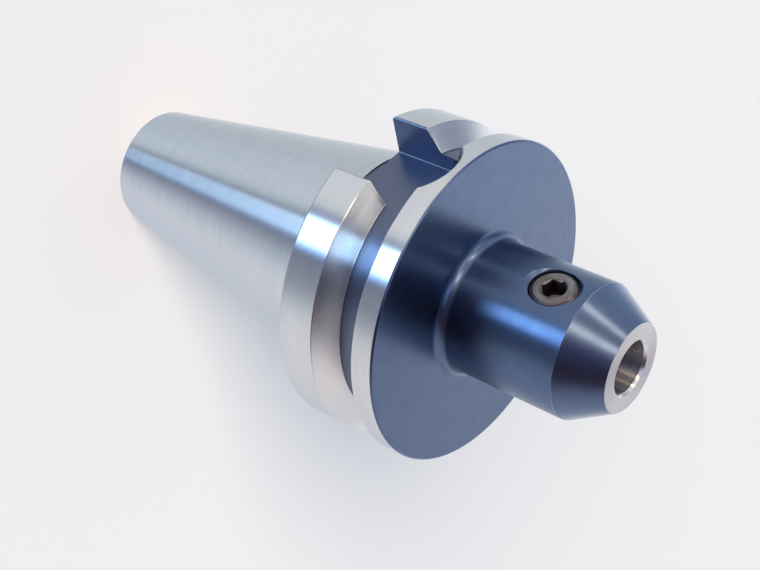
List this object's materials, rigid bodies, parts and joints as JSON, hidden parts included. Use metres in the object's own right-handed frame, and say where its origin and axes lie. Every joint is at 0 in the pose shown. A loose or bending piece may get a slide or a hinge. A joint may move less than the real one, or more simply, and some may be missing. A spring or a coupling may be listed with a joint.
{
  "type": "side-lock end mill holder",
  "caption": "Steel end mill holder with a steep taper shank, grooved and slotted flange, short nose with a side clamp screw, and a bore for the cutter.",
  "frame": {"origin": "centre of the taper's gauge plane, where the cone is 69.85 mm in diameter", "axes": "+Z along the holder's axis towards the cutter, -Y through the clamp screw and the first drive slot"},
  "size_m": [0.1, 0.1, 0.1907],
  "materials": {
    "holder_steel": "case-hardened alloy steel, ground bright on the taper, the flange's rings and flanks, the nose face and the bore, and blue-black oxide elsewhere",
    "screw_steel": "blackened alloy steel set screw, satin"
  },
  "bodies": {
    "holder": {"holder_body": "holder_steel"},
    "screw": {"clamp_screw": "screw_steel"}
  },
  "joints": [
    {"name": "clamp_screw_travel", "type": "slide", "parent": "holder", "child": "screw", "axis": [0, -1, 0], "range_m": [-0.0018, 0.009]}
  ]
}
